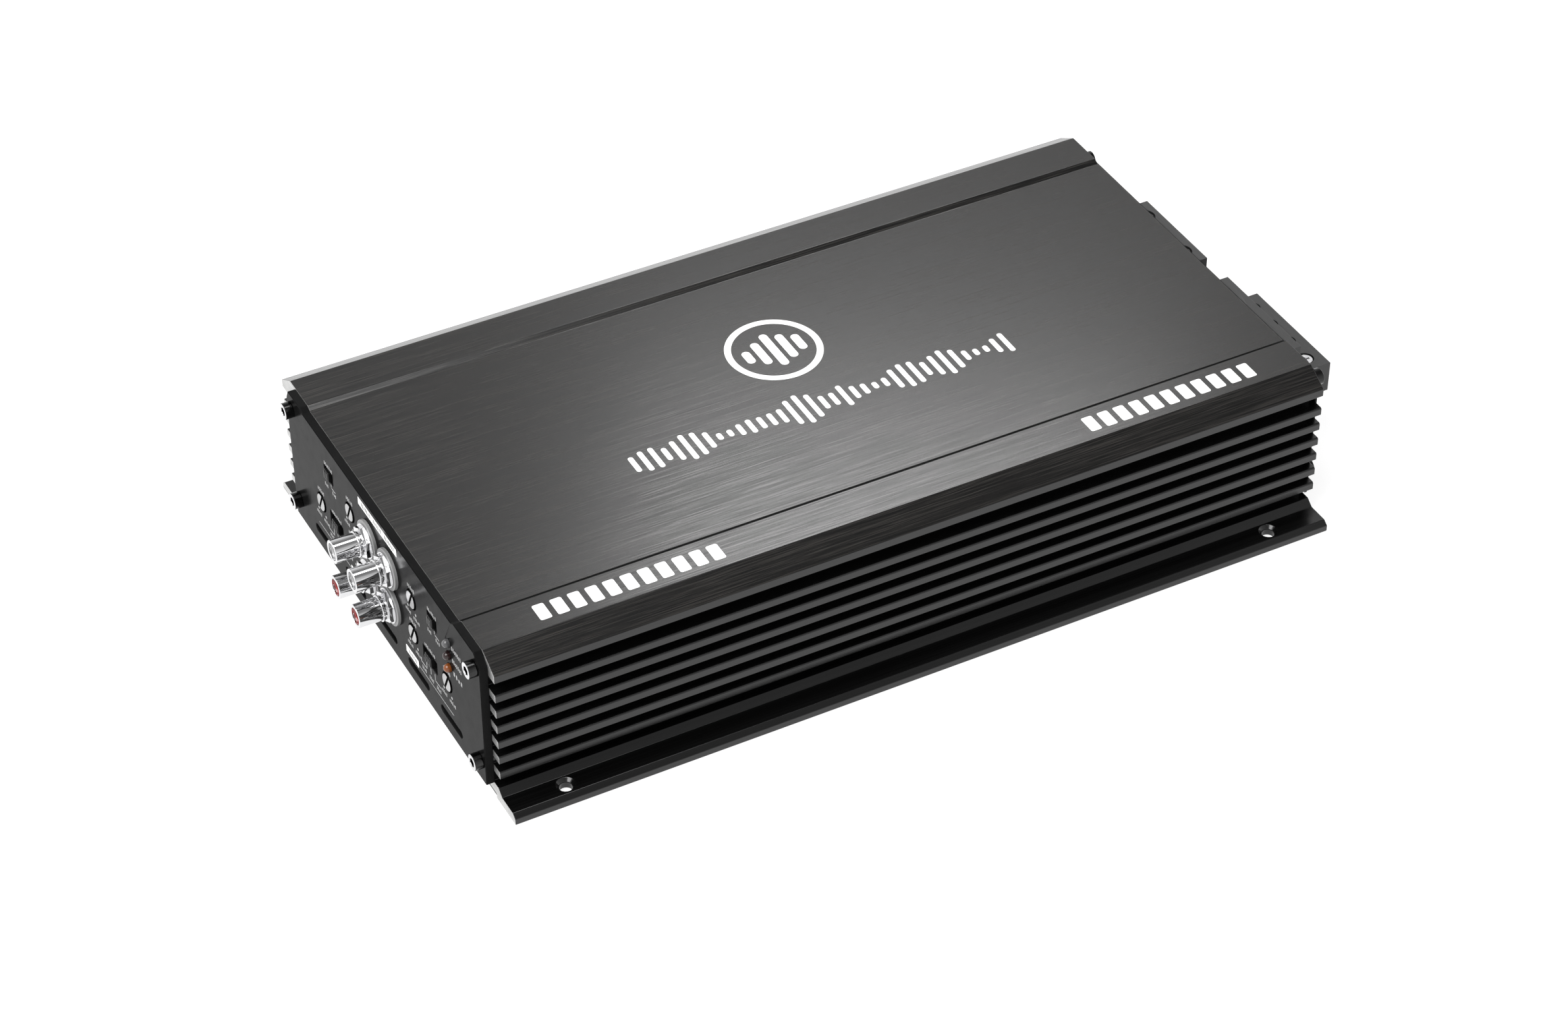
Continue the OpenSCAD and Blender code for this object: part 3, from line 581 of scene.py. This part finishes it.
def dress_sockets():
    chrome = plated("chrome_plate", (0.66, 0.66, 0.67), (0.74, 0.74, 0.75), 0.05, 0.01, 200, 0.0000005)
    satin = plated("satin_nickel", (0.60, 0.60, 0.59), (0.68, 0.68, 0.67), 0.3, 0.05, 400, 0.000002)
    white = moulded("white_insulator", gray(0.26), gray(0.34), 0.35, 900, 0.000004)
    red = moulded("red_insulator", (0.17, 0.007, 0.006), (0.24, 0.012, 0.010), 0.4, 900, 0.000004)
    washer = moulded("washer_plastic", gray(0.17), gray(0.22), 0.45, 1000, 0.000003)
    dress(chrome, numbered("rca_shell", 4), 0.12, 3)
    dress(white, ("rca_insulators_white",), 0.12)
    dress(red, ("rca_insulators_red",), 0.12)
    dress(satin, ("rca_contacts", "rca_nuts"), 0.12)
    dress(washer, ("rca_washers",), 0.12)


def dress_controls():
    """Trimmer shafts with a bright end and painted shade on their sides and slot, switch knobs, and three
    lamps.
    """
    slot_shade = plated("slot_shadow", gray(0.012), gray(0.02), 0.35, 0.05, 400, 0.000002)
    disc_metal = plated("trimmer_metal", gray(0.40), gray(0.48), 0.34, 0.05, 400, 0.000002)
    shafts = numbered("trimmer_shaft", 6)
    # Everything but each shaft's end face gets the slot_shadow material: painted shade.
    paint_outer_faces(shafts, disc_metal, slot_shade)
    for name in shafts:
        soften(name, 0.1)
    knob = moulded("knob_plastic", gray(0.003), gray(0.006), 0.3, 2200, 0.000005)
    dress(knob, numbered("slide_knob", 4), 0.12, 3)
    dress(plated("switch_steel", gray(0.40), (0.55, 0.55, 0.54), 0.35), ("slide_switch_bodies",), 0.15)
    dress(lens("clear_lens", (0.12, 0.12, 0.125), (0.18, 0.18, 0.185), 0.5), ("power_lamp",), 0.05)
    dress(lens("dark_red_lens", (0.014, 0.006, 0.006), (0.024, 0.010, 0.009), 0.2), ("protect_lamp",), 0.05)
    dress(lens("orange_lens", (0.17, 0.045, 0.009), (0.24, 0.07, 0.014), 0.2), ("clip_lamp",), 0.05)


def dress_terminals(zinc, block, brass):
    dress(block, ("speaker_terminal_block", "power_terminal_block"), 0.1)
    dress(brass, ("speaker_wire_clamps", "remote_wire_clamp"), 0.03)
    dress(brass, ("power_lugs",), 0.1)
    dress(zinc, numbered("speaker_screw", 8) + numbered("power_screw", 2) + ["remote_screw"], 0.12)


def dress_inside(block, brass):
    """What is behind the plates. Nothing of it shows from outside except through the slots."""
    dress(block, ("trimmer_bodies", "board_connector"), 0.15)
    dress(brass, ("board_standoffs",), 0.12)
    paint(circuit_board(), "main_board", "input_board")
    paint(wound_copper(), "transformer_windings", "output_inductors")
    ferrite = painted("ferrite", (0.05, 0.05, 0.052), (0.08, 0.08, 0.083), 0.6, 500, 0.0001)
    paint(ferrite, "transformer_cores")
    sleeve = moulded("capacitor_sleeve", (0.01, 0.012, 0.03), (0.02, 0.025, 0.06), 0.3)
    paint(sleeve, "filter_capacitors")
    paint(moulded("semiconductor", gray(0.02), gray(0.04), 0.5), "power_transistors")
    paint(moulded("thermal_pad", (0.38, 0.38, 0.39), (0.48, 0.48, 0.49), 0.7), "insulator_pads")


def prints_on_top():
    """A generic motif: level bars in a ring, a row of level bars, and two rows of blocks on the rail."""
    white = ink("top_ink", (0.90, 0.90, 0.89), (0.97, 0.97, 0.96))
    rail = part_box("heatsink_body")[1].z / MM
    panel = rail - PANEL_DROP

    def on_panel(u, v, height):
        return (u * MM, v * MM, (panel + height) * MM)

    def on_rail(u, v, height):
        return (u * MM, v * MM, (rail + RAIL_PRINT_START + height) * MM)

    cu, cv, r = -1.7, 17.3, 17.2
    shapes = ring(cu, cv, r, r - 2.4)
    for k, tall in enumerate((7, 13, 19, 14, 9)):
        u = cu + (k - 2) * 4.9
        shapes.append(round_rect(u - 1.55, u + 1.55, cv - tall / 2, cv + tall / 2, 1.5))
    flat_piece("emblem_print", shapes, on_panel, 0.06, white)

    random.seed(7)
    shapes = []
    count = 37
    for k in range(count):
        u = -72 + 143 * k / (count - 1)
        wave = 0.55 + 0.45 * math.sin(k * 0.9) * math.cos(k * 0.37 + 0.6)
        tall = 16.4 * max(0.22, min(1.0, wave + random.uniform(-0.12, 0.12)))
        shapes.append(round_rect(u - 0.95, u + 0.95, -16.7 - tall / 2, -16.7 + tall / 2, 0.9))
    flat_piece("level_bars_print", shapes, on_panel, 0.06, white)

    shapes = []
    for first, count in ((-133, 11), (71, 11)):
        for k in range(count):
            u = first + k * 6.2
            shapes.append(round_rect(u - 0.6, u + 3.5, -74.3, -66.6, 0.7))
    flat_piece("rail_blocks_print", shapes, on_rail, 0.05, white)


def prints_on_plate():
    """Plain marks around the controls: ticks in place of words, dots at the ends of each trimmer's turn."""
    white = ink("plate_ink", gray(0.24), gray(0.38), 0.55)
    bright = ink("strip_ink", (0.82, 0.82, 0.81), (0.92, 0.92, 0.91), 0.5)
    dark = ink("strip_dark_ink", gray(0.03), gray(0.06), 0.5)
    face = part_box("input_end_plate")[0].x / MM

    def on_plate(u, v, height):
        return ((face - PLATE_PRINT_START - height) * MM, u * MM, v * MM)

    def on_strip(u, v, height):
        return ((face - STRIP_PRINT_START - height) * MM, u * MM, v * MM)

    def ticks(y0, y1, z0, z1, count, fill=0.5):
        """A row of upright ticks that stands in for one printed word."""
        pitch = (y1 - y0) / count
        return [rect(y0 + k * pitch, y0 + (k + fill) * pitch, z0, z1 - (0.35 if k % 3 == 1 else 0.0))
                for k in range(count)]

    marks = []
    for joint in frame["joints"]:
        if not joint["name"].startswith("trimmer"):
            continue
        y, z = joint["pos_m"][1] / MM, joint["pos_m"][2] / MM
        marks += ticks(y - 2.9, y + 2.9, z + 4.4, z + 6.0, 5)
        for side in (-1, 1):
            marks.append(disc(y + side * 3.1, z - 4.5, 0.55, 16))
        marks += ticks(y + 1.0, y + 5.6, z - 7.3, z - 5.9, 5)
        marks += ticks(y - 5.8, y - 0.6, z - 7.3, z - 5.9, 5)
    for window_y in (39.9, -44.65):
        marks += ticks(window_y - 3.6, window_y + 3.6, 50.2, 51.7, 7)
        marks += ticks(window_y + 1.2, window_y + 4.4, 40.8, 42.2, 3)
        marks += ticks(window_y - 5.4, window_y - 1.9, 40.8, 42.2, 3)
        marks.append(rect(window_y - 1.9, window_y - 1.5, 42.9, 44.6))
        marks.append(rect(window_y - 5.2, window_y - 1.5, 42.9, 43.3))
    for window_y in (36.0, -40.8):
        marks += ticks(window_y - 4.3, window_y + 4.3, 31.6, 33.0, 8)
        for offset, foot in ((3.3, 1), (0.0, 0), (-3.3, -1)):
            marks.append(rect(window_y + offset - 0.2, window_y + offset + 0.2, 21.6, 24.4))
            if foot:
                a, b = sorted((window_y + offset, window_y + offset + foot * 4.6))
                marks.append(rect(a, b, 21.4, 21.8))
            marks += ticks(window_y + offset * 1.75 - 1.8, window_y + offset * 1.75 + 1.8, 18.9, 20.4, 4)
    for z in (48.1, 42.9, 37.6):
        marks += ticks(-67.0, -59.6, z - 0.9, z + 0.8, 7 if z > 40 else 4)
    marks.append(rect(-58.2, -30.3, 17.35, 17.65))
    marks.append(rect(25.4, 53.3, 17.35, 17.65))
    flat_piece("control_marks_print", marks, on_plate, 0.02, white)

    strips = [round_rect(-17.8, 13.5, 54.3, 57.4, 0.3), round_rect(-30.3, -20.2, 16.0, 19.0, 0.3),
              round_rect(15.3, 25.4, 16.0, 19.0, 0.3)]
    flat_piece("label_strips_print", strips, on_plate, 0.03, bright)
    words = []
    for y0, y1, count in ((-15.5, -7.5, 7), (-5.5, 1.5, 6), (3.5, 11.5, 7)):
        words += ticks(y0, y1, 55.0, 56.7, count)
    for y0, y1 in ((-28.8, -21.8), (16.8, 23.8)):
        words += ticks(y0, y1, 16.7, 18.3, 7)
    flat_piece("strip_ticks_print", words, on_strip, 0.02, dark)


main()
scene.view_settings.view_transform = "Standard"
